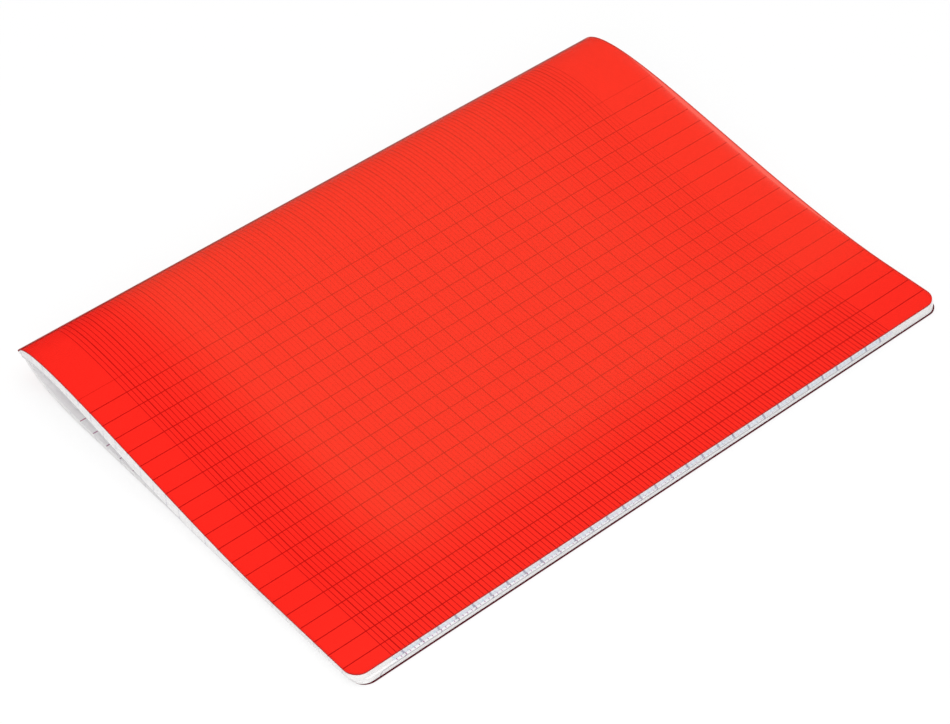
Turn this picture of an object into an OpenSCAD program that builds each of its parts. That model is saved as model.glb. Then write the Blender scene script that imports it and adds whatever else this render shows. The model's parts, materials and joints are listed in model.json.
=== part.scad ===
// A4 exercise notebook, stapled through one fold, lying closed on its back cover.
// Its leaves spring up near the fold, so the front half arches and a gap opens
// between the two halves. The tail is at -Y, the head at +Y, the fold at -X.

/* [Leaves] */
// Height of a leaf, from tail to head
page_h = 295; // [200:1:330]
// Width of the closed notebook, from the fold's outside to the fore edge
closed_w = 209.5; // [195:0.1:260]
// Thickness of all the leaves pressed together
pages_t = 4.7; // [2:0.1:8]
// Radius of the corners at the fore edge
corner_r = 6; // [1:0.5:15]
// How far the back half lies nearer the head than the front half
set_back = 1.5; // [0:0.1:2]
// How far the top leaf's fore edge is drawn in past the bottom leaf's at the tail
draw_tail = 1.2; // [0:0.1:2]
// How far the top leaf's fore edge is drawn in at the head
draw_head = 0.1; // [0:0.1:2]

/* [Cover] */
// Thickness of the plastic cover sheet
cover_t = 0.5; // [0.3:0.05:0.8]
// Air between the cover sheet and the leaves
cover_gap = 0.3; // [0.25:0.05:0.6]
// How much further toward the head the back cover lies than the leaves on it
cover_slip = 0.6; // [0:0.1:1]
// Slot between a cover panel and the spine strip it folds from
crease_gap = 0.3; // [0.2:0.05:0.5]
// Place of the front crease along the front arch, as a share of its curve
front_crease = 0.1; // [0.08:0.01:0.14]
// Place of the back crease along the back curve, as a share of its curve
back_crease = 0.4; // [0.34:0.01:0.5]

/* [Fold] */
// Radius inside the innermost folded sheet
inner_r = 0.2; // [0.15:0.05:0.5]
// How far the fold springs up at the tail, from its height when pressed flat
lift_tail = 9.4; // [6:0.1:11]
// How far the fold springs up at the head
lift_head = 12.5; // [6:0.1:14]
// Slope at which the front half leaves the fold, in degrees
front_slope = 64; // [50:1:66]
// Slope at which the back half leaves the fold, in degrees
back_slope = 48; // [40:1:55]

/* [Front arch] */
// Length of the handle that pulls the arch up at the tail
pull_tail = 18.2; // [15:0.1:24]
// Length of the handle that pulls the arch up at the head
pull_head = 26.5; // [18:0.1:30]
// Distance from the fold at which the tail's arch eases toward flat
ease_tail = 102.2; // [85:0.1:115]
// Distance from the fold at which the head's arch eases toward flat
ease_head = 109.7; // [90:0.1:120]
// Distance from the fold at which the front half lies flat at the tail
rest_tail = 156.9; // [140:0.1:170]
// Distance from the fold at which the front half lies flat at the head
rest_head = 182.4; // [150:0.1:185]

/* [Back curve] */
// Length of the handle that carries the back half down from the fold
back_pull = 7; // [5:0.1:9]
// Distance from the fold at which the back half eases toward flat
back_ease = 14.5; // [11:0.1:18]
// Distance from the fold at which the back half lies flat
back_rest = 42.5; // [34:0.1:60]

/* [Gap between the halves] */
// Run of the handle that shapes the gap's roof next to the fold
roof_run = 26.5; // [20:0.1:30]
// Rise of that handle at the tail
roof_rise_tail = 7.7; // [5:0.1:9]
// Rise of that handle at the head
roof_rise_head = 16; // [8:0.1:18]
// Distance from the fold at which the roof has come down at the tail
roof_ease_tail = 71.5; // [60:0.1:80]
// Distance from the fold at which the roof has come down at the head
roof_ease_head = 84.8; // [65:0.1:90]
// Distance from the fold at which the gap closes at the tail
gap_end_tail = 122.4; // [100:0.1:130]
// Distance from the fold at which the gap closes at the head
gap_end_head = 150.8; // [110:0.1:155]

/* [Staples] */
// Diameter of the staple wire
wire_d = 0.55; // [0.4:0.05:0.7]
// Width of a staple's crown, centre to centre of its legs
crown_w = 12; // [10:0.5:16]
// Distance between the two staples
staple_pitch = 150; // [80:1:200]
// Radius of the wire's centre line in each bend
bend_r = 0.45; // [0.4:0.05:0.5]
// Length of each leg that is clinched along the fold
clinch_l = 4.2; // [2:0.1:4.5]
// Depth of the clinched wire inside the fold, from the fold's centre
clinch_in = 1.15; // [1:0.05:2]
// Clearance round a leg in its hole
hole_play = 0.06; // [0.03:0.01:0.15]
// Clearance between the crown and the cover sheet
crown_play = 0.05; // [0.02:0.01:0.2]

/* [Hidden] */
arch_steps = 36;
curve_steps = 16;
flat_steps = 3;
corner_steps = 6;
nose_steps = 10;
strip_steps = 6;
section_count = 10;
wire_fn = 24;

leaf_d = cover_t + cover_gap;
middle_d = leaf_d + pages_t / 2;
total_t = 2 * middle_d;
fold_r = inner_r + middle_d;
crown_x = -(crown_play + wire_d / 2);
middle_x = (closed_w - crown_play - wire_d) / 2;
fold_pitch = atan((lift_head - lift_tail) / page_h);

function lerp(a, b, t) = a + (b - a) * t;
function reversed(list) = [for (i = [len(list) - 1:-1:0]) list[i]];
function share(y) = y / page_h + 0.5;

// Point and direction on a four-handle curve
function on_curve(h, t) =
    pow(1 - t, 3) * h[0] + 3 * t * pow(1 - t, 2) * h[1] + 3 * t * t * (1 - t) * h[2] + pow(t, 3) * h[3];
function heading(h, t) =
    let (g = pow(1 - t, 2) * (h[1] - h[0]) + 2 * t * (1 - t) * (h[2] - h[1]) + t * t * (h[3] - h[2]))
    g / norm(g);
function right_of(g) = [g[1], -g[0]];

// Handles of the section's curves, as [distance from the fold, height];
// v runs from 0 at the tail to 1 at the head
function fold_z(v) = total_t / 2 + lerp(lift_tail, lift_head, v);
function fold_centre(v) = [fold_r, fold_z(v)];
function front_handles(v) =
    let (start = fold_centre(v) + fold_r * [-sin(front_slope), cos(front_slope)])
    [start,
     start + lerp(pull_tail, pull_head, v) * [cos(front_slope), sin(front_slope)],
     [lerp(ease_tail, ease_head, v), total_t],
     [lerp(rest_tail, rest_head, v), total_t]];
function back_handles(v) =
    let (start = fold_centre(v) - fold_r * [sin(back_slope), cos(back_slope)])
    [start,
     start + back_pull * fold_z(v) / fold_z(0) * [cos(back_slope), -sin(back_slope)],
     [back_ease, 0],
     [back_rest, 0]];
function roof_handles(v) =
    let (start = fold_centre(v) + inner_r * [-sin(front_slope), cos(front_slope)])
    [start,
     start + [roof_run, lerp(roof_rise_tail, roof_rise_head, v)],
     [lerp(roof_ease_tail, roof_ease_head, v), middle_d],
     [lerp(gap_end_tail, gap_end_head, v), middle_d]];

// Lines of a section, each point [distance from the fold, height, corner inset, side],
// at a depth d below the outer face; side is 0 on the front half and 1 on the back
function mark(p, inset, side) = [p[0], p[1], inset, side];
function front_arch(v, d, from = 0, to = 1, steps = arch_steps) =
    let (h = front_handles(v))
    [for (i = [0:steps])
        let (t = lerp(from, to, i / steps))
        mark(on_curve(h, t) + d * right_of(heading(h, t)), 0, 0)];
function back_curve(v, d, from = 0, to = 1, steps = curve_steps) =
    let (h = back_handles(v))
    [for (i = [0:steps])
        let (t = lerp(from, to, i / steps))
        mark(on_curve(h, t) - d * right_of(heading(h, t)), 0, 1)];
function nose(v, d) =
    [for (i = [1:nose_steps - 1])
        let (a = lerp(90 + front_slope, 270 - back_slope, i / nose_steps))
        mark(fold_centre(v) + (fold_r - d) * [cos(a), sin(a)], 0, i / nose_steps)];
function level(from, to, z, side, steps) =
    [for (i = [1:steps]) mark([lerp(from, to, i / steps), z], 0, side)];
function fore_edge(v, side) = closed_w - (1 - side) * lerp(draw_tail, draw_head, v);
function corner(v, z, side) =
    [for (i = [1:corner_steps])
        let (a = 90 * i / corner_steps)
        mark([fore_edge(v, side) - corner_r * (1 - sin(a)), z], corner_r * (1 - cos(a)), side)];
function to_fore_edge(v, from, z, side) =
    concat(level(from, fore_edge(v, side) - corner_r, z, side, flat_steps), corner(v, z, side));

// A section's points in space at share v of the height; slip is the cover's own set-back
function placed(line, v, slip) =
    [for (p = line)
        [p[0] - middle_x,
         (v - 0.5) * (page_h - 2 * p[2]) + set_back * (p[3] - 0.5) + slip * p[3] - cover_slip / 2,
         p[1]]];

// Triangles of the wall that joins one loop of points through all the sections
function wall(first, count, size) =
    [for (k = [0:section_count - 1]) for (i = [0:count - 1])
        let (a = k * size + first + i, b = k * size + first + (i + 1) % count)
        each [[a, b, b + size], [a, b + size, a + size]]];
function strip(upper, lower) =
    [for (i = [0:len(upper) - 2])
        each [[upper[i], upper[i + 1], lower[i + 1]], [upper[i], lower[i + 1], lower[i]]]];
function both_ends(tail, size) =
    [for (f = tail) each [f, [for (i = [2:-1:0]) f[i] + size * section_count]]];

module loft(sections, walls, tail_end) {
    polyhedron(
        points = [for (s = sections) each s],
        faces = concat(walls, both_ends(tail_end, len(sections[0]))),
        convexity = 8);
}

// A cover sheet between two lines of the same number of points, given for each section
module sheet(upper, lower) {
    n = len(upper[0]);
    loft(
        [for (k = [0:section_count])
            placed(concat(reversed(upper[k]), lower[k]), k / section_count, cover_slip)],
        wall(0, 2 * n, 2 * n),
        strip([for (i = [0:n - 1]) n - 1 - i], [for (i = [0:n - 1]) n + i]));
}

function sections_v() = [for (k = [0:section_count]) k / section_count];

// Share of a curve that half the crease slot takes
function slot_share(handles, t) =
    let (step = 0.01)
    crease_gap / 2 * step / norm(on_curve(handles, t + step) - on_curve(handles, t));

// Front panel of the cover, from its crease to the fore edge
module front_cover() {
    from = front_crease + slot_share(front_handles(0.5), front_crease);
    function line(v, d) =
        concat(front_arch(v, d, from), to_fore_edge(v, front_handles(v)[3][0], total_t - d, 0));
    color([1, 0.17, 0.13])
        sheet([for (v = sections_v()) line(v, 0)], [for (v = sections_v()) line(v, cover_t)]);
}

// Back panel of the cover, flat on the table beyond its curve
module back_cover() {
    from = back_crease + slot_share(back_handles(0.5), back_crease);
    function line(v, d) = concat(back_curve(v, d, from), to_fore_edge(v, back_rest, d, 1));
    color([0.9, 0.14, 0.11])
        sheet([for (v = sections_v()) line(v, cover_t)], [for (v = sections_v()) line(v, 0)]);
}

// Strip of the cover that wraps the fold and is held by the staples
module cover_spine() {
    back_to = back_crease - slot_share(back_handles(0.5), back_crease);
    front_to = front_crease - slot_share(front_handles(0.5), front_crease);
    function line(v, d) =
        concat(
            reversed(back_curve(v, d, 0, back_to, strip_steps)),
            reversed(nose(v, d)),
            front_arch(v, d, 0, front_to, strip_steps));
    color([0.78, 0.1, 0.08])
        difference() {
            sheet([for (v = sections_v()) line(v, 0)], [for (v = sections_v()) line(v, cover_t)]);
            staple_holes();
        }
}

// All the leaves, nested in one fold, with the open gap between the two halves
module page_block() {
    front_n = arch_steps + flat_steps + corner_steps + 1;
    outer_n = 2 * front_n + nose_steps - 1;
    loop_n = 2 * arch_steps + 1;
    size = outer_n + loop_n;
    flat_n = arch_steps - curve_steps;
    front_i = [for (i = [0:front_n - 1]) front_n - 1 - i];
    nose_i = [for (i = [0:nose_steps]) front_n - 1 + i];
    back_i = [for (i = [0:front_n - 1]) front_n - 1 + nose_steps + i];
    roof_i = [for (i = [0:arch_steps]) outer_n + i];
    floor_i = [for (i = [0:arch_steps]) outer_n + 2 * arch_steps - i];
    tip = outer_n + arch_steps;
    function cut(list, from, to) = [for (i = [from:to]) list[i]];
    function roof(v) =
        [for (i = [0:arch_steps]) mark(on_curve(roof_handles(v), i / arch_steps), 0, 0)];
    function gap_floor(v) =
        concat(back_curve(v, middle_d), level(back_rest, roof_handles(v)[3][0], middle_d, 0.5, flat_n));
    function outside(v) =
        let (rest = front_handles(v)[3][0])
        concat(
            reversed(concat(front_arch(v, leaf_d), to_fore_edge(v, rest, total_t - leaf_d, 0))),
            nose(v, leaf_d),
            back_curve(v, leaf_d),
            level(back_rest, rest, leaf_d, 1, flat_n),
            to_fore_edge(v, rest, leaf_d, 1));
    function inside(v) = concat(roof(v), cut(reversed(gap_floor(v)), 1, arch_steps));
    tail_end = concat(
        strip(cut(front_i, 0, arch_steps), roof_i),
        strip(floor_i, cut(back_i, 0, arch_steps)),
        [for (i = [0:nose_steps - 1]) [roof_i[0], nose_i[i + 1], nose_i[i]]],
        [[roof_i[0], floor_i[0], back_i[0]],
         [front_i[arch_steps], front_i[arch_steps + 1], tip],
         [tip, front_i[arch_steps + 1], back_i[arch_steps + 1]],
         [tip, back_i[arch_steps + 1], back_i[arch_steps]]],
        strip(cut(front_i, arch_steps + 1, front_n - 1), cut(back_i, arch_steps + 1, front_n - 1)));
    color([0.94, 0.94, 0.93])
        difference() {
            loft(
                [for (v = sections_v()) placed(concat(outside(v), inside(v)), v, 0)],
                concat(wall(0, outer_n, size), wall(outer_n, loop_n, size)),
                tail_end);
            staple_holes();
        }
}

// Places its children at the fold's centre line, y from the middle of the height
module on_fold(y) {
    translate([-middle_x, y, fold_z(share(y))])
        rotate([fold_pitch, 0, 0])
            children();
}

module wire(length) {
    cylinder(d = wire_d, h = length, $fn = wire_fn);
}

module bend(start) {
    rotate([0, 0, start])
        rotate_extrude(angle = 90, $fn = wire_fn * 2)
            translate([bend_r, 0])
                circle(d = wire_d, $fn = wire_fn);
}

// One staple: the crown outside the fold, two legs through it, their ends clinched inside
module staple(y) {
    leg_y = crown_w / 2;
    clinch_x = fold_r + clinch_in;
    color([0.72, 0.73, 0.75])
        on_fold(y) {
            translate([crown_x, leg_y - bend_r, 0]) rotate([90, 0, 0]) wire(crown_w - 2 * bend_r);
            for (side = [0, 1])
                mirror([0, side, 0]) {
                    translate([crown_x + bend_r, leg_y - bend_r, 0]) bend(90);
                    translate([crown_x + bend_r, leg_y, 0])
                        rotate([0, 90, 0]) wire(clinch_x - crown_x - 2 * bend_r);
                    translate([clinch_x - bend_r, leg_y - bend_r, 0]) bend(0);
                    translate([clinch_x, leg_y - bend_r, 0]) rotate([90, 0, 0]) wire(clinch_l);
                }
        }
}

// Holes that the staples' legs pass through
module staple_holes() {
    for (y = [-staple_pitch / 2, staple_pitch / 2])
        on_fold(y)
            for (leg = [-crown_w / 2, crown_w / 2])
                translate([2 * crown_x, leg, 0])
                    rotate([0, 90, 0])
                        cylinder(d = wire_d + 2 * hole_play, h = fold_r + clinch_in - 2 * crown_x, $fn = wire_fn);
}

module staple_tail() {
    staple(-staple_pitch / 2);
}

module staple_head() {
    staple(staple_pitch / 2);
}

front_cover();
back_cover();
cover_spine();
page_block();
staple_tail();
staple_head();
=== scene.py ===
import json
import math
import bpy
import numpy as np
from mathutils import Matrix, Vector


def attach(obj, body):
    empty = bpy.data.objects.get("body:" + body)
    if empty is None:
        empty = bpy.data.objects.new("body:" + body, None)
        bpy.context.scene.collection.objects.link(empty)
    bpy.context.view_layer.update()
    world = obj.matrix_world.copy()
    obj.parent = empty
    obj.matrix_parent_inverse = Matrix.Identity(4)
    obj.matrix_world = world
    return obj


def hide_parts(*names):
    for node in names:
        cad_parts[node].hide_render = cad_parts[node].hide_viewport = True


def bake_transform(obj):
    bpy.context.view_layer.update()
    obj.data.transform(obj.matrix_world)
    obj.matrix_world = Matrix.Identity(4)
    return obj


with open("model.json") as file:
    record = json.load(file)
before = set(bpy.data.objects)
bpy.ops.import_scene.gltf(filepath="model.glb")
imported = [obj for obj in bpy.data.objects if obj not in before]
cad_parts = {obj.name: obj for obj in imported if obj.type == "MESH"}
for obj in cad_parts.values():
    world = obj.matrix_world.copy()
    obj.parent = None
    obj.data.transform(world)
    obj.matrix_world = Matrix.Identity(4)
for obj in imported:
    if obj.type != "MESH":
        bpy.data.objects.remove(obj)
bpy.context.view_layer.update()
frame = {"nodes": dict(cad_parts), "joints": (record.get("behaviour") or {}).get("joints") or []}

print("frame loaded")

# Sizes of the notebook's section in mm, as in the part's source. Where two numbers
# stand together, the first is at the tail and the second at the head.
section = {
    "pageHeight": 295.0,
    "closedWidth": 209.5,
    "leavesThickness": 4.7,
    "cornerRadius": 6.0,
    "setBack": 1.5,             # of the back half towards the head
    "coverSlip": 0.6,           # more of it in the back cover than in the leaves
    "drawIn": (1.2, 0.1),       # of the top leaf's fore edge past the bottom leaf's
    "coverThickness": 0.5,
    "coverGap": 0.3,
    "innerRadius": 0.2,
    "lift": (9.4, 12.5),
    "frontSlope": 64.0,
    "backSlope": 48.0,
    "frontPull": (18.2, 26.5),
    "frontEase": (102.2, 109.7),
    "frontRest": (156.9, 182.4),
    "backPull": 7.0,
    "backEase": 14.5,
    "backRest": 42.5,
    "roofRun": 26.5,
    "roofRise": (7.7, 16.0),
    "roofEase": (71.5, 84.8),
    "gapEnd": (122.4, 150.8),
    "foldAcross": 104.45,       # from the fold's outside to the middle of the part
    "frontCrease": 0.1,         # shares of the two curves at which the cover bends
    "backCrease": 0.4,
}
leafDepth = section["coverThickness"] + section["coverGap"]
middleDepth = leafDepth + section["leavesThickness"] / 2
totalThickness = 2 * middleDepth
foldRadius = section["innerRadius"] + middleDepth


# A straight step from a to b by the share t.
def between(a, b, t):
    return a + (b - a) * t


# A size that runs straight from its tail value to its head value.
def along(name, v):
    tail, head = section[name]
    return between(tail, head, v)


# A distance and a height, side by side, each spread over the sections v.
def pair(x, z, v):
    return np.stack([np.broadcast_to(x, v.shape), np.broadcast_to(z, v.shape)]).astype(float)


# The fold's centre in each section: its distance from the fold's outside, and its height.
def foldCentre(v):
    return pair(foldRadius, totalThickness / 2 + along("lift", v), v)


# The unit direction at an angle in degrees, as a distance and a height.
def direction(degrees):
    angle = math.radians(degrees)
    return np.array([math.cos(angle), math.sin(angle)]).reshape(2, 1, 1)


# A cubic curve: each of its four handles weighted by its Bernstein share at t, then moved
# by depth along the normal, which is the curve's direction turned to the right.
def cubic(handles, t, depth):
    first, second, third, last = handles
    rest = 1 - t
    point = rest**3 * first + 3 * t * rest**2 * second + 3 * t**2 * rest * third + t**3 * last
    slope = rest**2 * (second - first) + 2 * t * rest * (third - second) + t**2 * (last - third)
    slope = slope / np.hypot(slope[0], slope[1])
    return point + depth * np.stack([slope[1], -slope[0]])


# The four handles of the front half's outer face.
def frontHandles(v):
    slope = section["frontSlope"]
    start = foldCentre(v) + foldRadius * direction(90 + slope)
    return [start, start + along("frontPull", v) * direction(slope),
            pair(along("frontEase", v), totalThickness, v),
            pair(along("frontRest", v), totalThickness, v)]


# The four handles of the back half's outer face.
def backHandles(v):
    slope = section["backSlope"]
    centre = foldCentre(v)
    start = centre + foldRadius * direction(270 - slope)
    pull = section["backPull"] * centre[1] / (totalThickness / 2 + section["lift"][0])
    return [start, start + pull * direction(-slope),
            pair(section["backEase"], 0, v), pair(section["backRest"], 0, v)]


# The four handles of the gap's roof, which is the underside of the upper leaves.
def roofHandles(v):
    start = foldCentre(v) + section["innerRadius"] * direction(90 + section["frontSlope"])
    return [start, start + pair(section["roofRun"], along("roofRise", v), v),
            pair(along("roofEase", v), middleDepth, v), pair(along("gapEnd", v), middleDepth, v)]


# Points of a section line: distance and height, with the inset of the rounded corner and the
# side, which is 0 on the front half and 1 on the back half.
def marked(points, inset, side):
    shape = points[0].shape
    return np.stack([points[0], points[1],
                     np.broadcast_to(inset, shape), np.broadcast_to(side, shape)])


# The flat run from a distance to the rounded corner, then the corner: a quarter turn whose
# inset grows as one less the cosine and whose distance as the sine. The front half ends short
# of the closed width by what its fore edge is drawn in, and the leaves' back half by a ledge.
def toForeEdge(start, height, side, v, flatSteps, cornerSteps, ledge=0.0):
    radius = section["cornerRadius"]
    end = section["closedWidth"] - ledge - (1 - side) * along("drawIn", v)
    share = np.linspace(0, 1, flatSteps + 1)[1:, None]
    flat = pair(0, height, np.ones((flatSteps, 1)) * v)
    flat[0] = between(start, end - radius, share)
    angle = np.linspace(0, math.pi / 2, cornerSteps + 1)[1:, None]
    corner = pair(0, height, np.ones((cornerSteps, 1)) * v)
    corner[0] = end - radius * (1 - np.sin(angle))
    inset = radius * (1 - np.cos(angle))
    return np.concatenate([marked(flat, 0, side), marked(corner, inset, side)], axis=1)


# The round nose of the fold: an arc about the fold's centre, from the front half to the back.
def nose(v, depth, steps):
    share = np.linspace(0, 1, steps + 1)[1:-1, None]
    angle = np.radians(between(90 + section["frontSlope"], 270 - section["backSlope"], share))
    reach = foldRadius - depth
    centre = foldCentre(v)
    points = np.stack([centre[0] + reach * np.cos(angle), centre[1] + reach * np.sin(angle)])
    return marked(points, 0, share)


# Section points put in space, in metres: the share v of the height along Y, less the corner's
# inset, and the back half set back towards the head, by the slip more where it is the cover.
def placed(line, v, slip=0.0):
    x = line[0] - section["foldAcross"]
    setBack = section["setBack"] * (line[3] - 0.5) + slip * line[3] - section["coverSlip"] / 2
    y = (v - 0.5) * (section["pageHeight"] - 2 * line[2]) + setBack
    return np.stack([x, y, line[1]]) / 1000


# Distance of each section point from the line's first point, measured along the section.
def walked(line):
    steps = np.hypot(np.diff(line[0], axis=0), np.diff(line[1], axis=0))
    return np.concatenate([np.zeros((1, line.shape[2])), np.cumsum(steps, axis=0)])


# Height on the page itself, from the page's middle, in mm.
def onPage(line, v):
    return (v - 0.5) * (section["pageHeight"] - 2 * line[2])


# Meshes: how close points are welded, and which edges are sharp.
meshing = {
    "finest": 1e7,              # steps to a metre: points in the same step are one
    "sharpFrom": 35,            # degrees between two faces that make an edge sharp
}


# Turns grids of points into one closed mesh: each grid gives a quad between every four
# neighbours, and points that meet at the grids' borders are welded. The closed mesh faces
# outwards when the sum of its faces' cones from the origin is positive.
def weldedMesh(name, grids, attribute):
    points, extras, quads, slots = [], [], [], []
    count = 0
    for grid, extra, kept, slot in grids:
        n, m = grid.shape[1:]
        index = count + np.arange(n * m).reshape(n, m)
        corners = np.stack([index[:-1, :-1], index[1:, :-1], index[1:, 1:], index[:-1, 1:]],
                           axis=-1).reshape(-1, 4)
        quads.append(corners if kept else corners[:, ::-1])
        slots.append(np.full(len(corners), slot))
        points.append(grid.reshape(3, -1).T)
        extras.append(extra.reshape(3, -1).T)
        count += n * m
    points, extras = np.concatenate(points), np.concatenate(extras)
    first, back = np.unique(np.round(points * meshing["finest"]).astype(np.int64), axis=0,
                            return_index=True, return_inverse=True)[1:]
    quads, welded = back.reshape(-1)[np.concatenate(quads)], points[first]
    fan = welded[quads]
    volume = sum(np.einsum("ij,ij->", fan[:, 0], np.cross(fan[:, k], fan[:, k + 1]))
                 for k in (1, 2))
    if volume < 0:              # the faces turn inwards, so each is run the other way round
        quads = quads[:, ::-1]
    mesh = bpy.data.meshes.new(name)
    mesh.from_pydata(welded.tolist(), [], quads.tolist())
    mesh.polygons.foreach_set("material_index", np.concatenate(slots))
    layer = mesh.attributes.new(attribute, "FLOAT_VECTOR", "POINT")
    layer.data.foreach_set("vector", extras[first].astype(np.float32).ravel())
    mesh.shade_smooth()
    mesh.set_sharp_from_angle(angle=math.radians(meshing["sharpFrom"]))
    mesh.update()
    piece = bpy.data.objects.new(name, mesh)
    bpy.context.scene.collection.objects.link(piece)
    return piece


# Wraps a socket of a node tree, so that sums written on it add Math nodes.
class Wire:
    def __init__(self, tree, socket=None):
        self.tree, self.socket = tree, socket

    # Adds a node: its settings first, then its sockets, by name or number, from values or wires.
    def node(self, kind, settings=None, sockets=None, out=0):
        made = self.tree.nodes.new(kind)
        for name, value in (settings or {}).items():
            setattr(made, name, value)
        for name, value in (sockets or {}).items():
            if isinstance(value, Wire):
                self.tree.links.new(value.socket, made.inputs[name])
            else:
                made.inputs[name].default_value = value
        return Wire(self.tree, made.outputs[out]) if len(made.outputs) else None

    # A Math node on the given values or wires.
    def maths(self, operation, *parts):
        return self.node("ShaderNodeMath", {"operation": operation}, dict(enumerate(parts)))

    # Sums of wires and values, each as a Math node.
    def __add__(self, other):
        return self.maths("ADD", self, other)

    def __sub__(self, other):
        return self.maths("SUBTRACT", self, other)

    def __rsub__(self, other):
        return self.maths("SUBTRACT", other, self)

    def __mul__(self, other):
        return self.maths("MULTIPLY", self, other)

    def __truediv__(self, other):
        return self.maths("DIVIDE", self, other)

    __radd__, __rmul__ = __add__, __mul__

    # Distance to the nearest whole step of a ruler with this pitch and start.
    def toLine(self, start, pitch):
        share = ((self - start) / pitch + 0.5).turned("FRACT") - 0.5
        return share.turned("ABSOLUTE") * pitch

    # A Math node on this wire alone.
    def turned(self, operation):
        return self.maths(operation, self)

    # 1 between two values and 0 outside them.
    def within(self, low, high):
        return self.maths("LESS_THAN", self, high) * self.maths("GREATER_THAN", self, low)

    # A least value, and so much more for each unit of the wire.
    def scaled(self, least, more):
        return least + more * self

    # All the outputs of this wire's node.
    def outputs(self):
        return [Wire(self.tree, socket) for socket in self.socket.node.outputs]

    # Runs smoothly from one value to another while the wire goes from low to high.
    def eased(self, low, high, start=0.0, end=1.0):
        return self.node("ShaderNodeMapRange", {"interpolation_type": "SMOOTHSTEP"}, {
            "Value": self, "From Min": low, "From Max": high, "To Min": start, "To Max": end})

    # Runs smoothly from 1 to 0 while the wire goes from low to high.
    def faded(self, low, high):
        return self.eased(low, high, 1.0, 0.0)

    # Two colours, mixed by this wire.
    def mixed(self, first, second):
        return self.node("ShaderNodeMix", {"data_type": "RGBA"}, {0: self, 6: first, 7: second}, 2)

    # This colour, changed into another by a factor.
    def into(self, other, factor):
        return factor.mixed(self, other)


# Begins a material and gives its empty tree as a wire.
def newMaterial(name):
    material = bpy.data.materials.new(name)
    material.use_nodes = True
    material.node_tree.nodes.clear()
    return material, Wire(material.node_tree)


# The place written into a mesh, as a vector and as its three parts.
def readPlace(start, attribute):
    vector = start.node("ShaderNodeAttribute", {"attribute_name": attribute}, out=1)
    return vector, vector.node("ShaderNodeSeparateXYZ", {}, {0: vector}).outputs()


# Noise over a vector, stretched by a scale along each axis.
def noise(vector, scale, detail=2.0, roughness=0.5):
    stretched = vector.node("ShaderNodeVectorMath", {"operation": "MULTIPLY"},
                            {0: vector, 1: scale})
    return vector.node("ShaderNodeTexNoise", {}, {
        "Vector": stretched, "Scale": 1.0, "Detail": detail, "Roughness": roughness})


# Ends a material of clear plastic, with its solid part laid over its tint by a share.
def finishClear(material, start, tint, solid, share):
    clear = start.node("ShaderNodeBsdfTransparent", {}, {"Color": tint})
    sheet = start.node("ShaderNodeMixShader", {}, {0: share, 1: clear, 2: solid})
    start.node("ShaderNodeOutputMaterial", {}, {"Surface": sheet})
    return material


# Cover plastic: a clear red sheet. Part of what meets it is spread by the plastic itself, and
# the rest passes straight through its tint, twice for each sheet. It is clearest beside the
# tail and the fore edge, where it lies on the page. It has a pale painted sheen along the fold
# and the head, and painted shade at the fold and in a thin line along its edges. Spans are in
# mm: across from the fore edge, up from the middle of the page, or round from the fold.
coverFinish = {
    "tint": (0.987, 0.411, 0.366, 1),
    "close": (1.0, 0.02, 0.012, 1),
    "loose": (1.0, 0.12, 0.055, 1),
    # pale painted sheen along the head and the fold
    "sheen": (0.98, 0.26, 0.21, 1),
    # painted shade at the fold and beside it, where the sheet turns away from the light
    "dark": (0.38, 0.010, 0.015, 1),
    "closeHaze": 0.06,          # share that the plastic spreads at each face beside the fore edge
    "innerHaze": 0.06,          # more of it further in
    "looseHaze": 0.09,          # and where the sheet stands off the page
    "sheenHaze": 0.12,
    "shadeHaze": 0.60,
    "darkColour": 1.4,          # how much stronger the painted shade is in the colour
    "inner": (4, 54),           # span across over which the sheet lifts
    "looseUp": (-128, -85),
    "looseAtFore": 0.25,        # share of the looseness left at the fore edge
    "looseHead": (55, 110, 1.0, 0.78),
    "looseCloud": (0.9, 0.2),   # least share, and what the clouds add
    # painted sheen: along the head, and along the fold
    "headSheen": {"up": (140.0, 147.5), "across": (30, 90), "round": (16, 42),
                 "streaks": (0.10, 0.30)},
    "foldSheen": {"round": (6.5, 12), "up": (-130, 130), "strays": (0.4, 1.2)},
    # painted shade: a thin line at the fold, and a broader band beside it
    "foldShade": (3.0, 6.2),
    "shadeBesideFold": (6, 19, 0.14, 0.0),
    # painted shade in a thin line along the sheet's edges, darker on the back, which lies under the
    # leaves
    "frontRim": {"share": 0.40, "full": 0.0, "end": 0.5, "colour": (0.30, 0.012, 0.014, 1)},
    "backRim": {"share": 1.0, "full": 0.45, "end": 0.9, "colour": (0.085, 0.0008, 0.007, 1)},
    "roughness": 0.40,
    "cloudRoughness": 0.08,
    "gloss": 0.07,
    "clouds": ((0.03, 0.03, 0.0), 3.0),
    "grain": ((3.2, 3.2, 0.0), 2.0, 0.6),
    "streaks": ((0.05, 1.6, 0.0), 3.0, 0.6),
    "strays": ((1.4, 0.06, 0.0), 3.0, 0.6),
    "relief": {"Strength": 0.35, "Distance": 0.00001},
}


# Distance in from the sheet's outline, whose corners at the fore edge are quarter circles.
def fromOutline(fromFore, height):
    radius = section["cornerRadius"]
    across = fromFore.maths("MAXIMUM", radius - fromFore, 0)
    upward = height.maths("MAXIMUM",
                          radius - section["pageHeight"] / 2 + height.turned("ABSOLUTE"), 0)
    return radius - (across * across + upward * upward).turned("SQRT")
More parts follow.
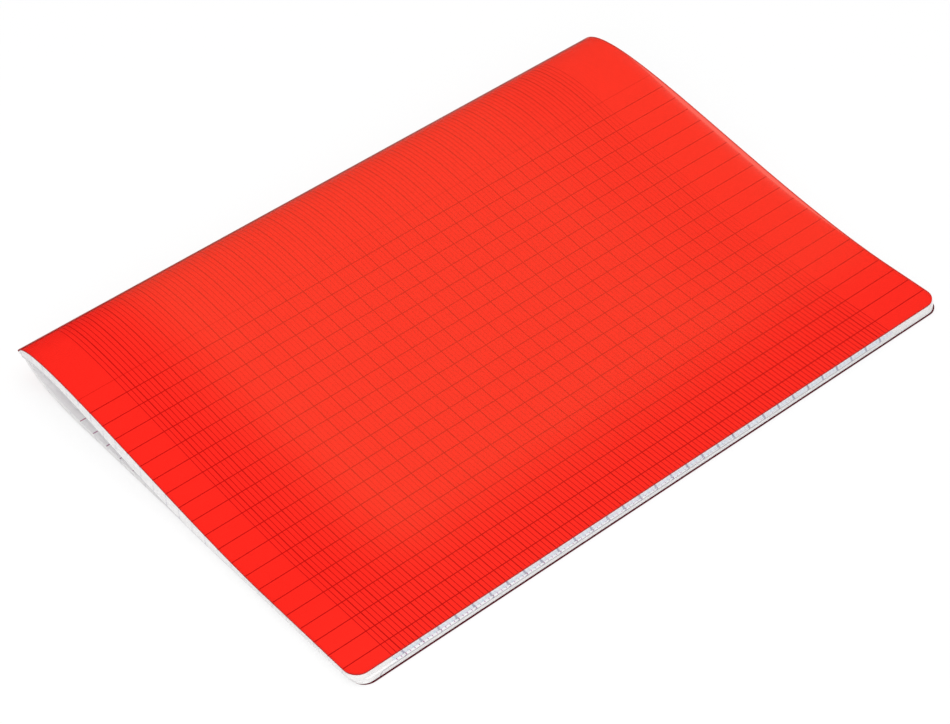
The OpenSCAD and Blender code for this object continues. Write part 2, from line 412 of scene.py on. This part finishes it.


# The plastic's material: its haze is the sum of a share for each of its states, and the colour
# that it spreads runs from one state's colour into the next by the same shares. The pale band
# is painted sheen, and the dark at the fold and the thin rim line are painted shade.
def coverPlastic(name, rim):
    finish, head, fold = coverFinish, coverFinish["headSheen"], coverFinish["foldSheen"]
    material, start = newMaterial(name)
    fromFore, height, fromFold = readPlace(start, "sheetPlace")[1]
    onSheet = start.node("ShaderNodeCombineXYZ", {}, {0: fromFore, 1: height})
    clouds, grain = noise(onSheet, *finish["clouds"]), noise(onSheet, *finish["grain"])
    streaks, strays = noise(onSheet, *finish["streaks"]), noise(onSheet, *finish["strays"])
    inner = fromFore.eased(*finish["inner"])
    atFore = finish["looseAtFore"]
    loose = (height.eased(*finish["looseUp"]) * (atFore + (1 - atFore) * inner)
             * height.eased(*finish["looseHead"]) * clouds.scaled(*finish["looseCloud"]))
    # painted sheen along the head and along the fold
    headSheen = (height.eased(*head["up"]) * fromFore.eased(*head["across"])
                * fromFold.eased(*head["round"]) * streaks.scaled(*head["streaks"]))
    foldSheen = (fromFold.faded(*fold["round"]) * height.eased(*fold["up"])
                * strays.scaled(*fold["strays"]))
    sheen = headSheen.maths("MAXIMUM", headSheen, foldSheen)
    # painted shade at the fold and beside it
    dark = fromFold.faded(*finish["foldShade"]) + fromFold.eased(*finish["shadeBesideFold"])
    # painted shade in a thin line along the edges
    rimShade = fromOutline(fromFore, height).eased(rim["full"], rim["end"], rim["share"], 0.0)
    haze = (finish["closeHaze"] + finish["innerHaze"] * inner + finish["looseHaze"] * loose
            + finish["sheenHaze"] * sheen + finish["shadeHaze"] * dark + rimShade)
    spread = loose.mixed(finish["close"], finish["loose"]).into(finish["sheen"], sheen)
    spread = spread.into(finish["dark"], dark * finish["darkColour"]).into(rim["colour"], rimShade)
    relief = start.node("ShaderNodeBump", {}, {"Height": grain, **finish["relief"]})
    roughness = finish["roughness"] + finish["cloudRoughness"] * (clouds - 0.5)
    solid = start.node("ShaderNodeBsdfPrincipled", {}, {
        "Base Color": spread, "Roughness": roughness, "Specular IOR Level": finish["gloss"],
        "Normal": relief})
    return finishClear(material, start, finish["tint"], solid, haze)


# The sheet's cut edge, where light comes from deep inside the plastic and looks maroon.
cutEdgeFinish = {
    "tint": (0.60, 0.05, 0.06, 1),
    "front": {"dark": (0.24, 0.012, 0.014, 1), "pale": (0.42, 0.045, 0.04, 1), "share": 0.75},
    # the back's darker copy is painted shade: it lies on the table under the leaves
    "back": {"dark": (0.075, 0.0008, 0.006, 1), "pale": (0.14, 0.0012, 0.016, 1), "share": 1.0},
    "nicks": ((0.6, 0.6, 0.6), 3.0, 0.6),
    "nickShow": (0.3, 0.7),
    "roughness": (0.35, 0.2),   # least, and what the nicks add
    "gloss": 0.05,
}


# The cut edge's material: two maroons mixed by the nicks, over a share of the edge's tint.
def coverCutEdge(name, finish):
    material, start = newMaterial(name)
    nicks = noise(readPlace(start, "sheetPlace")[0], *cutEdgeFinish["nicks"])
    colour = nicks.eased(*cutEdgeFinish["nickShow"]).mixed(finish["dark"], finish["pale"])
    solid = start.node("ShaderNodeBsdfPrincipled", {}, {
        "Base Color": colour, "Roughness": nicks.scaled(*cutEdgeFinish["roughness"]),
        "Specular IOR Level": cutEdgeFinish["gloss"]})
    return finishClear(material, start, cutEdgeFinish["tint"], solid, finish["share"])


# Ruled paper. Distances are in mm: across from the fore edge, and height from the middle of the
# page. Right-hand pages have their margin beside the fold, left-hand pages beside the fore edge.
ruling = {
    "pitch": 8.0,
    "finePitch": 2.0,
    "topLine": 113.43,          # height of the highest main line
    "bottomLine": -126.57,
    "fineAbove": 3,
    "fineBelow": 2,
    "lastUpright": 8.0,         # from the fore edge on a right-hand page
    "firstUpright": 160.0,
    "margin": 168.0,
    "beyond": 1,                # how far past its outermost lines a band of ruling reaches
    "mainWidth": 0.35,
    "fineWidth": 0.24,
    "soft": 0.10,
    "mainInk": (0.39, 0.15, 0.27, 1),
    "fineInk": (0.47, 0.18, 0.38, 1),
    "marginInk": (0.40, 0.04, 0.14, 1),
    "marginShare": (0.4, 0.6),  # of its ink: on the outer pages, and more on the inner ones
    "inkPatches": ((0.25, 0.25, 0.0), 2.0),
    "inkShare": (0.8, 0.3),     # least, and what the patches add
    "faint": {"across": (15, 70), "fold": (140, 195, 1.0, 0.15), "up": (-125, -80), "share": 0.55},
    "pageWidth": 210.0,
}
ruling["top"] = ruling["topLine"] + ruling["fineAbove"] * ruling["finePitch"]
ruling["bottom"] = ruling["bottomLine"] - ruling["fineBelow"] * ruling["finePitch"]
paperFinish = {
    "white": (0.94, 0.93, 0.935, 1),
    "shade": (0.915, 0.90, 0.91, 1),
    "roughness": 0.85,
    "gloss": 0.2,
    "fibre": ((0.9, 0.9, 0.0), 4.0, 0.6),
    "fibreShow": (0.3, 0.7),
    "relief": {"Strength": 0.2, "Distance": 0.00003},
}


# How much of a line's ink covers a point at this distance from it.
def inked(distance, width):
    return distance.faded(width / 2, width / 2 + ruling["soft"])


# A page's material: the paper's colour, then each set of lines inked over it where the point
# lies in that set's band. The fine lines are fainter in the middle of the page.
def ruledPaper(name, rightHand):
    material, start = newMaterial(name)
    vector, (fromFore, height, depth) = readPlace(start, "leafPlace")
    across = fromFore if rightHand else ruling["pageWidth"] - fromFore
    beyond, faint = ruling["beyond"], ruling["faint"]
    ruledBand = height.within(ruling["bottom"] - beyond, ruling["top"] + beyond)
    mainBand = height.within(ruling["bottomLine"] - beyond, ruling["topLine"] + beyond)
    uprightBand = across.within(ruling["lastUpright"] - beyond, ruling["firstUpright"] + beyond)
    mains = (inked(height.toLine(ruling["topLine"], ruling["pitch"]), ruling["mainWidth"])
             * mainBand)
    fines = (inked(height.toLine(ruling["topLine"], ruling["finePitch"]), ruling["fineWidth"])
             * ruledBand)
    uprights = (inked(across.toLine(ruling["lastUpright"], ruling["pitch"]), ruling["mainWidth"])
                * uprightBand)
    margin = inked((across - ruling["margin"]).turned("ABSOLUTE"), ruling["mainWidth"])
    fibre = noise(vector, *paperFinish["fibre"])
    paper = fibre.eased(*paperFinish["fibreShow"]).mixed(paperFinish["white"], paperFinish["shade"])
    inkShare = noise(vector, *ruling["inkPatches"]).scaled(*ruling["inkShare"])
    middle = (fromFore.eased(*faint["across"]) * fromFore.eased(*faint["fold"])
              * height.eased(*faint["up"]))
    colour = paper.into(ruling["fineInk"], fines * inkShare * (1 - faint["share"] * middle))
    colour = colour.into(ruling["marginInk"],
                         margin * inkShare * depth.scaled(*ruling["marginShare"]))
    colour = colour.into(ruling["mainInk"], mains.maths("MAXIMUM", mains, uprights) * inkShare)
    relief = start.node("ShaderNodeBump", {}, {"Height": fibre, **paperFinish["relief"]})
    page = start.node("ShaderNodeBsdfPrincipled", {}, {
        "Base Color": colour, "Roughness": paperFinish["roughness"],
        "Specular IOR Level": paperFinish["gloss"], "Normal": relief})
    start.node("ShaderNodeOutputMaterial", {}, {"Surface": page})
    return material


# Cut edges of the leaves: white paper with fine layers, darkened between them by painted shade,
# and the ends of the ruled lines, which show as small marks. Depth counts from 0 at the outside
# to 1 at the middle of the notebook, and at the fore edge on to 2 at the back. Each pair is a
# span over which something grows or fades, in mm or in depth, or the part of its noise that shows.
leafEdgeFinish = {
    "white": (0.84, 0.83, 0.825, 1),
    # painted shade between the leaves, laid on by the layers' noise
    "shade": (0.66, 0.66, 0.68, 1),
    "shadeShow": (0.45, 0.80),
    "shadeShare": 0.8,
    "foreEdge": (0.5, 2.0),
    "tail": (-146.5, -145.0),
    "bandEnd": (0.5, 1.5),
    "ruledWhite": (0.74, 0.775, 0.82, 1),   # where the ends of the fine lines tint it
    "ruledFrom": (0.04, 0.20),
    "ruledUntil": (0.95, 1.10),
    "mainMark": {"colour": (0.38, 0.37, 0.46, 1), "show": (0.22, 0.50), "share": 0.95},
    "uprightMark": {"colour": (0.38, 0.37, 0.46, 1), "show": (0.35, 0.7), "share": 0.35},
    "fineMark": {"colour": (0.52, 0.65, 0.73, 1), "warm": (0.76, 0.64, 0.74, 1),
                 "turn": (0.42, 0.58), "show": (0.30, 0.55), "share": 0.8,
                 "from": (0.08, 0.22), "until": (0.95, 1.05)},
    "mainMarkWidth": 0.75,
    "fineMarkWidth": 0.7,
    "markCore": 0.2,            # share of a mark's width at full strength
    "wander": 0.7,              # how far the marks stray along the edge
    "parting": 1.30,            # depth at which the stack shows a painted shadow line, its parting
    "stackEnd": 0.1,            # depth over which the marks end above it
    "partingShade": (0.34, 0.34, 0.38, 1),
    "partingFade": (0.03, 0.13, 0.8, 0.0),
    "partingHead": (100, 125),
    "meeting": {"depth": (0.93, 1.0), "across": (40, 80), "share": 0.7},    # painted shade where the two halves meet
    "layers": ((0.12, 0.12, 26.0), 2.0, 0.6),
    "patches": ((0.35, 0.35, 3.0), 3.0, 0.55),
    "tints": ((0.55, 0.55, 2.0), 1.0),
    "strays": ((0.0, 0.05, 5.0), 1.0),
    "roughness": 0.9,
    "gloss": 0.15,
    "relief": {"Strength": 0.3, "Distance": 0.00005},
}


# Marks at the ends of the lines of a ruling, full at a line and gone at a mark's width from it.
def lineEnds(place, line, pitch, width):
    core = width * leafEdgeFinish["markCore"]
    return place.toLine(ruling[line], ruling[pitch]).faded(core, width)


# The cut edges' material: the layers lay painted shade over the white, and the marks, the
# parting's painted shadow line and the painted shade where the halves meet are laid over it one
# by one, each by its own mask.
def leafEdges():
    finish = leafEdgeFinish
    fine, main = finish["fineMark"], finish["mainMark"]
    upright, meet = finish["uprightMark"], finish["meeting"]
    material, start = newMaterial("Cut edges of the leaves")
    vector, (fromFore, height, depth) = readPlace(start, "leafPlace")
    layers, patches = noise(vector, *finish["layers"]), noise(vector, *finish["patches"])
    tints, strays = noise(vector, *finish["tints"]), noise(vector, *finish["strays"])
    onFore, onTail = fromFore.faded(*finish["foreEdge"]), height.faded(*finish["tail"])
    near, far = finish["bandEnd"]
    ruledBand = (height.faded(ruling["top"] + near, ruling["top"] + far)
                 * height.eased(ruling["bottom"] - far, ruling["bottom"] - near) * onFore)
    tinted = ruledBand * depth.eased(*finish["ruledFrom"]) * depth.faded(*finish["ruledUntil"])
    colour = tinted.mixed(finish["white"], finish["ruledWhite"])
    # painted shade between the leaves
    colour = colour.into(finish["shade"], layers.eased(*finish["shadeShow"]) * finish["shadeShare"])
    inStack = ruledBand * depth.faded(finish["parting"] - finish["stackEnd"], finish["parting"])
    inFines = inStack * depth.eased(*fine["from"]) * depth.faded(*fine["until"])
    wander = (strays - 0.5) * finish["wander"]
    mainMarks = lineEnds(height + wander, "topLine", "pitch", finish["mainMarkWidth"])
    fineMarks = lineEnds(height + wander, "topLine", "finePitch", finish["fineMarkWidth"])
    uprightMarks = lineEnds(fromFore + wander, "lastUpright", "pitch", finish["mainMarkWidth"])
    fineTint = tints.eased(*fine["turn"]).mixed(fine["colour"], fine["warm"])
    colour = colour.into(fineTint,
                         fineMarks * inFines * patches.eased(*fine["show"]) * fine["share"])
    colour = colour.into(main["colour"],
                         mainMarks * inStack * patches.eased(*main["show"]) * main["share"])
    colour = colour.into(upright["colour"],
                         uprightMarks * onTail * patches.eased(*upright["show"]) * upright["share"])
    # painted shadow line where the stack parts
    parting = (depth - finish["parting"]).turned("ABSOLUTE").eased(*finish["partingFade"])
    # painted shade along the line where the two halves meet
    meeting = depth.eased(*meet["depth"]) * fromFore.eased(*meet["across"])
    parting = parting * onFore * height.faded(*finish["partingHead"])
    colour = colour.into(finish["partingShade"], parting + meeting * onTail * meet["share"])
    relief = start.node("ShaderNodeBump", {}, {"Height": layers, **finish["relief"]})
    edge = start.node("ShaderNodeBsdfPrincipled", {}, {
        "Base Color": colour, "Roughness": finish["roughness"],
        "Specular IOR Level": finish["gloss"], "Normal": relief})
    start.node("ShaderNodeOutputMaterial", {}, {"Surface": edge})
    return material


# Drawn steel wire: bright, with fine streaks along the wire and a slight dulling.
wireFinish = {
    "bright": (0.74, 0.75, 0.77, 1),
    "dull": (0.50, 0.50, 0.52, 1),
    "dullShow": (0.45, 0.75),
    "roughness": (0.24, 0.2),   # least, and what the spots add
    "streaks": ((9000.0, 300.0, 9000.0), 2.0, 0.6),
    "spots": ((700.0, 700.0, 700.0), 3.0, 0.6),
    "relief": {"Strength": 0.3, "Distance": 0.00001},
}


# The wire's material: dull spots mixed into the bright steel, and the streaks as its relief.
def stapleSteel():
    material, start = newMaterial("Staple wire")
    place = start.node("ShaderNodeTexCoord", {}, {}, 3)
    streaks, spots = noise(place, *wireFinish["streaks"]), noise(place, *wireFinish["spots"])
    relief = start.node("ShaderNodeBump", {}, {"Height": streaks, **wireFinish["relief"]})
    colour = spots.eased(*wireFinish["dullShow"]).mixed(wireFinish["bright"], wireFinish["dull"])
    steel = start.node("ShaderNodeBsdfPrincipled", {}, {
        "Base Color": colour, "Metallic": 1.0,
        "Roughness": spots.scaled(*wireFinish["roughness"]), "Normal": relief})
    start.node("ShaderNodeOutputMaterial", {}, {"Surface": steel})
    return material


frontPlastic = (coverPlastic("Red cover plastic", coverFinish["frontRim"]),
                coverCutEdge("Cut edge of the front cover", cutEdgeFinish["front"]))
# the back cover's copies, whose darker rim and cut edge are painted shade
backPlastic = (coverPlastic("Red cover plastic of the back", coverFinish["backRim"]),
               coverCutEdge("Cut edge of the back cover", cutEdgeFinish["back"]))
rightPage = ruledPaper("Ruled right-hand page", True)
leftPage = ruledPaper("Ruled left-hand page", False)
leafEdge, steel = leafEdges(), stapleSteel()
print("materials made")

# The cover sheet: how many points across each part of its section and along its height.
sheetSteps = {
    "arch": 96, "nose": 14, "back": 36, "flat": 12, "corner": 10, "height": 72,
    "creaseGap": 0.003,         # share of the back curve between the two sheets at the crease
    "creaseReach": 12.0,        # from the fold to the back crease, in mm
}


# A sheet as thick as the cover, closed all round: its outer and inner lines swept over the
# height, with a strip of cut edge along each of its four sides. The fold is at a row of the
# line, or beyond its end by a distance.
def coverSheet(name, lineAt, foldRow, beyond, materials):
    v = np.linspace(0, 1, sheetSteps["height"] + 1)[None, :]
    outer, inner = lineAt(v, 0.0), lineAt(v, section["coverThickness"])
    reach = walked(outer)
    place = np.stack([reach, onPage(outer, v), np.abs(reach - reach[foldRow]) + beyond])
    top, bottom = placed(outer, v, section["coverSlip"]), placed(inner, v, section["coverSlip"])
    grids = [(top, place, False, 0), (bottom, place, True, 0)]
    for k, kept in ((0, True), (-1, False)):        # the tail's cut edge, then the head's
        edge = np.stack([top[:, :, k], bottom[:, :, k]], axis=2)
        grids.append((edge, np.stack([place[:, :, k]] * 2, axis=2), kept, 1))
    for k, kept in ((0, False), (-1, True)):        # the cut edges at the ends of the section
        edge = np.stack([top[:, k], bottom[:, k]], axis=1)
        grids.append((edge, np.stack([place[:, k]] * 2, axis=1), kept, 1))
    piece = weldedMesh(name, grids, "sheetPlace")
    for material in materials:
        piece.data.materials.append(material)
    return piece


# The front of the cover in section: from the fore edge back over the arch, round the fold, and
# down to the back crease.
def frontLine(v, depth):
    handles, height = frontHandles(v), totalThickness - depth
    arch = marked(cubic(handles, np.linspace(0, 1, sheetSteps["arch"] + 1)[:, None], depth), 0, 0)
    flat = toForeEdge(handles[3][0], height, 0, v, sheetSteps["flat"], sheetSteps["corner"])
    down = np.linspace(0, section["backCrease"], sheetSteps["back"] // 2)[:, None]
    back = marked(cubic(backHandles(v), down, -depth), 0, 1)
    return np.concatenate([flat[:, ::-1], arch[:, ::-1],
                           nose(v, depth, sheetSteps["nose"]), back], axis=1)


# The back of the cover in section: from the fore edge over the table to the back crease.
def backLine(v, depth):
    start = section["backCrease"] + sheetSteps["creaseGap"]
    share = np.linspace(start, 1, sheetSteps["back"])[:, None]
    curve = marked(cubic(backHandles(v), share, -depth), 0, 1)
    flat = toForeEdge(section["backRest"] + 0 * v, depth, 1, v,
                      sheetSteps["flat"], sheetSteps["corner"])
    return np.concatenate([curve, flat], axis=1)[:, ::-1]


foldRow = sheetSteps["flat"] + sheetSteps["corner"] + sheetSteps["arch"] + sheetSteps["nose"] // 2
frontSheet = coverSheet("frontCoverSheet", frontLine, foldRow, 0.0, frontPlastic)
backSheet = coverSheet("backCoverSheet", backLine, -1, sheetSteps["creaseReach"], backPlastic)
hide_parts("front_cover", "cover_spine")
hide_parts("back_cover")

# Where each cover turns, and the short run over which the sheet bends there, in mm. The loop
# below only works out each crease's heading from them and bakes each sheet's place; no sheet
# is bent.
bends = {
    "front": {"joint": "front_cover_fold", "run": 3.0},
    "back": {"joint": "back_cover_fold", "run": 3.0},
}


# The way a curve runs at its crease, kept square to the hinge's axis.
def creaseHeading(handles, share, axis):
    step = 0.001
    here, ahead = (cubic(handles, np.array([[t]]), 0)[:, 0, 0] for t in (share, share + step))
    way = Vector((ahead[0] - here[0], 0, ahead[1] - here[1]))
    return (way - axis * way.dot(axis)).normalized()


joints = {joint["name"]: joint for joint in frame["joints"]}
middle = np.array([[0.5]])
creases = ((frontSheet, "front", frontHandles(middle), section["frontCrease"]),
           (backSheet, "back", backHandles(middle), section["backCrease"]))
for sheet, side, handles, share in creases:
    joint = joints[bends[side]["joint"]]
    origin, axis = Vector(joint["pos_m"]), Vector(joint["axis"]).normalized()
    heading = creaseHeading(handles, share, axis)
    origin + heading * bends[side]["run"] / 1000
    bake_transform(sheet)
print("cover sheets made")

# The leaves: how many folded sheets, how far their edges step in, and the points of the mesh.
leaves = {
    "sheets": 24,
    "coverPlay": 0.15,          # air left under the cover
    "halfPlay": 0.02,           # half the air where the two halves meet
    "endStep": 0.16,            # most that a leaf's end stands back at the tail or head
    "foreStep": 0.05,
    "groove": 0.03,
    "backLedge": 0.35,          # of the back cover, seen past the last leaf at the fore edge
    "lean": 1.1,                # slant of the line ends down the fore edge, for each half's depth
    "leanTo": 1.25,             # depth at which the slant stops
    "creep": 2.9,               # how far the middle page's margin lies off its place to the fold
    "creepSpan": (140.0, 170.0),
    "sag": 2.5,                 # of the top leaves under the cover at the head
    "sagFrom": (24.0, 66.0),    # distances from the fold over which it grows, and fades again
    "sagUntil": ((100.0, 135.0), (110.0, 168.0)),
    "sagShare": 0.8,            # most of the gap's height that its roof comes down with them
    "leafLines": (0.0, 0.12, 0.88),     # where the three mesh lines of a leaf's edge run
    "foreFade": 0.05,           # share of the height over which the fore edge's steps begin
    "arch": 80, "nose": 14, "flat": 12, "corner": 10, "height": 60,
    "seed": 7, "foreSeed": 12,
}


# A smooth step from 0 to 1 between two values.
def smooth(value, low, high):
    share = np.clip((value - low) / (high - low), 0, 1)
    return share * share * (3 - 2 * share)


# How far the upper leaves hang below the cover: none at the tail and most at the head, grown
# and faded over the distance from the fold.
def sagOf(distance, v):
    (fadeTail, endTail), (fadeHead, endHead) = leaves["sagUntil"]
    kept = 1 - smooth(distance, between(fadeTail, fadeHead, v), between(endTail, endHead, v))
    return leaves["sag"] * v * smooth(distance, *leaves["sagFrom"]) * kept


# The whole fold in section, outside or inside: the front half from the fore edge to the fold,
# the nose, and the back half out to the fore edge again.
def leavesLine(v, inside):
    t = np.linspace(0, 1, leaves["arch"] + 1)[:, None]
    if inside:
        front = cubic(roofHandles(v), t, 0)
        front[1] += leaves["halfPlay"]
        spare = np.maximum(front[1] - middleDepth - leaves["halfPlay"], 0)
        front[1] -= np.minimum(sagOf(front[0], v), leaves["sagShare"] * spare)
        frontEnd, frontHeight = along("gapEnd", v), middleDepth + leaves["halfPlay"]
        backHeight, noseDepth = middleDepth - leaves["halfPlay"], middleDepth
    else:
        depth = section["coverThickness"] + leaves["coverPlay"]
        front = cubic(frontHandles(v), t, depth)
        front[1] -= sagOf(front[0], v)
        frontEnd, frontHeight = along("frontRest", v), totalThickness - depth
        backHeight, noseDepth = depth, depth
    back = cubic(backHandles(v), t, -backHeight)
    frontFlat = toForeEdge(frontEnd, frontHeight, 0, v, leaves["flat"], leaves["corner"])
    backFlat = toForeEdge(section["backRest"] + 0 * v, backHeight, 1, v,
                          leaves["flat"], leaves["corner"], leaves["backLedge"])
    return np.concatenate([frontFlat[:, ::-1], marked(front, 0, 0)[:, ::-1],
                           nose(v, noseDepth, leaves["nose"]),
                           marked(back, 0, 1), backFlat], axis=1)


# Depths of the mesh lines over a cut edge, as shares of the thickness, and how far each stands
# back: three lines to a leaf, the middle two level and the one between leaves in a groove.
def leafSteps(most, seed):
    rng = np.random.default_rng(seed)
    count = leaves["sheets"]
    level = rng.random(count) * most
    depth = (np.arange(count)[:, None] + np.array(leaves["leafLines"])).ravel() / count
    back = np.stack([level + leaves["groove"], level, level], axis=1).ravel()
    depth, back = np.append(depth, 1.0), np.append(back, 0.0)
    back[0] = 0
    return depth, back


# All the leaves as one folded pack, closed all round: the outside and the inside swept over the
# height, and the cut edges at the tail, the head and both fore edges.
def leafPack():
    v = np.linspace(0, 1, leaves["height"] + 1)[None, :]
    outer, inner = leavesLine(v, False), leavesLine(v, True)
    half = outer.shape[1] // 2
    row = np.arange(outer.shape[1])
    distances = []
    for line in (outer, inner):
        reach = walked(line)
        fromBack = reach[-1] - reach + leaves["backLedge"]
        distances.append(np.where(row[:, None] <= half, reach + along("drawIn", v), fromBack))
    distances = np.array(distances)
    creepFrom, creepTo = leaves["creepSpan"]
    rise = (distances[1] - creepFrom) / (creepTo - creepFrom)
    distances[1][half + 1:] -= leaves["creep"] * np.clip(rise, 0, 1)[half + 1:]
    heights = np.array([onPage(outer, v), onPage(inner, v)])
    depthOf = np.zeros_like(distances[0])
    outside = (placed(outer, v), np.stack([distances[0], heights[0], depthOf]))
    insideFace = (placed(inner, v), np.stack([distances[1], heights[1], depthOf + 1]))
    grids = [(*outside, False, None), (*insideFace, True, None)]
    for k, inward in ((0, 1), (-1, -1)):        # the tail's cut edge, then the head's
        depth, back = leafSteps(leaves["endStep"], leaves["seed"] + k)
        line = between(outer[:, :, k, None], inner[:, :, k, None], depth)
        face = placed(line, v[0, k])
        fade = np.minimum(1, np.minimum(row, row[::-1]) / leaves["corner"])
        face[1] += inward * fade[:, None] * back / 1000
        place = np.stack([between(distances[0][:, k, None], distances[1][:, k, None], depth),
                          between(heights[0][:, k, None], heights[1][:, k, None], depth),
                          depth + 0 * line[0]])
        grids.append((face, place, k == 0, 2))
    for k in (0, -1):                           # the fore edge of the front half, then the back's
        depth, back = leafSteps(leaves["foreStep"], leaves["foreSeed"] + k)
        line = between(outer[:, k, None, :], inner[:, k, None, :], depth[:, None])
        face = placed(line, v)
        face[0] -= back[:, None] / 1000 * np.minimum(1, np.minimum(v, 1 - v) / leaves["foreFade"])
        down = depth if k == 0 else 2 - depth
        lean = leaves["lean"] * np.minimum(down, leaves["leanTo"]) + k * section["setBack"]
        slanted = between(heights[0][k], heights[1][k], depth[:, None]) - lean[:, None]
        place = np.stack([0 * line[0], slanted, down[:, None] + 0 * line[0]])
        grids.append((face, place, k == 0, 2))
    return grids, half


# Right-hand pages are the top one and the one on the gap's floor, left-hand pages the gap's
# roof and the last one.
def splitPages(grids, half):
    outside, inside = grids[0], grids[1]

    # One page: some rows of a grid, with the page's material.
    def part(grid, rows, slot):
        return (grid[0][:, rows], grid[1][:, rows], grid[2], slot)

    upper, lower = slice(0, half + 1), slice(half, None)
    return [part(outside, upper, 0), part(outside, lower, 1),
            part(inside, upper, 1), part(inside, lower, 0), *grids[2:]]


grids, half = leafPack()
pack = weldedMesh("leafPack", splitPages(grids, half), "leafPlace")
for material in (rightPage, leftPage, leafEdge):
    pack.data.materials.append(material)
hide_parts("page_block")
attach(pack, "pages")
print("leaves made")

for node in ("staple_tail", "staple_head"):
    staple = frame["nodes"][node]
    staple.data.materials.clear()
    staple.data.materials.append(steel)
print("staples finished")

# Camera at the photograph's place, from the fit to the ruling, in metres.
camera = {
    "place": (0.55417, -0.46636, 0.67816),
    "right": (0.64978, 0.75998, -0.01455),
    "up": (-0.51718, 0.45605, 0.72425),
    "lens": 95.39,
    "sensor": 36.0,
    "clip": (0.01, 50),
}
right, up = Vector(camera["right"]).normalized(), Vector(camera["up"])
up = (up - right * up.dot(right)).normalized()
lens = bpy.data.cameras.new("camera")
lens.lens, lens.sensor_width, lens.sensor_fit = camera["lens"], camera["sensor"], "HORIZONTAL"
lens.clip_start, lens.clip_end = camera["clip"]
viewer = bpy.data.objects.new("camera", lens)
bpy.context.scene.collection.objects.link(viewer)
turn = Matrix((right, up, right.cross(up))).transposed().to_4x4()
viewer.matrix_world = Matrix.Translation(camera["place"]) @ turn
bpy.context.scene.camera = viewer


# 1 for rays from the camera, and for those that a mirror or glass sends on; 0 for light.
def seenRays(start):
    rays = start.node("ShaderNodeLightPath").outputs()
    direct, mirrored, sentOn = rays[0], rays[3], rays[6]
    return start.maths("MAXIMUM", start.maths("MAXIMUM", direct, mirrored), sentOn)


# Floor: a wide sheet under the notebook. The camera sees it nearly white, and the soft shadow
# stays in the part of it that the lamps light.
floor = {
    "half": 2.5,
    "below": 0.0001,
    "steps": 8,
    "white": (0.94, 0.94, 0.94, 1),
    "roughness": 0.9,
    "glow": 0.78,               # share of the floor that the camera sees as plain white
}
spots = np.linspace(-floor["half"], floor["half"], floor["steps"] + 1)
gridX, gridY = np.meshgrid(spots, spots, indexing="ij")
floorPoints = np.stack([gridX, gridY, np.full_like(gridX, -floor["below"])])
ground = weldedMesh("floor", [(floorPoints, floorPoints, True, 0)], "floorPlace")
floorMaterial, start = newMaterial("Pale floor")
seen = seenRays(start)
matte = start.node("ShaderNodeBsdfPrincipled", {}, {
    "Base Color": floor["white"], "Roughness": floor["roughness"], "Specular IOR Level": 0.0})
glow = start.node("ShaderNodeEmission", {}, {"Color": (1, 1, 1, 1), "Strength": 1.0})
paleFloor = start.node("ShaderNodeMixShader", {}, {0: seen * floor["glow"], 1: matte, 2: glow})
start.node("ShaderNodeOutputMaterial", {}, {"Surface": paleFloor})
ground.data.materials.append(floorMaterial)

# Soft studio light: an even pale world, seen as white, and two broad lamps.
studio = {
    "world": 0.58,
    "lamps": [
        {"name": "overhead", "at": (0.0, 0.0, 1.6), "aim": (0, 0, 0), "size": 1.8, "power": 13.3},
        {"name": "side", "at": (1.0, -1.1, 0.9), "aim": (0, 0, 0), "size": 1.2, "power": 9.3},
    ],
}
world = bpy.data.worlds.new("studio")
bpy.context.scene.world = world
world.use_nodes = True
world.node_tree.nodes.clear()
start = Wire(world.node_tree)
brightness = studio["world"] + (1 - studio["world"]) * seenRays(start)
sky = start.node("ShaderNodeBackground", {}, {"Color": (1, 1, 1, 1), "Strength": brightness})
start.node("ShaderNodeOutputWorld", {}, {"Surface": sky})
for lamp in studio["lamps"]:
    light = bpy.data.lights.new(lamp["name"], "AREA")
    light.shape, light.size, light.energy = "DISK", lamp["size"], lamp["power"]
    shone = bpy.data.objects.new(lamp["name"], light)
    bpy.context.scene.collection.objects.link(shone)
    shone.location = lamp["at"]
    heading = Vector(lamp["aim"]) - Vector(lamp["at"])
    shone.rotation_euler = heading.to_track_quat("-Z", "Y").to_euler()
bpy.context.scene.view_settings.view_transform = "Standard"
print("camera, floor and light set")
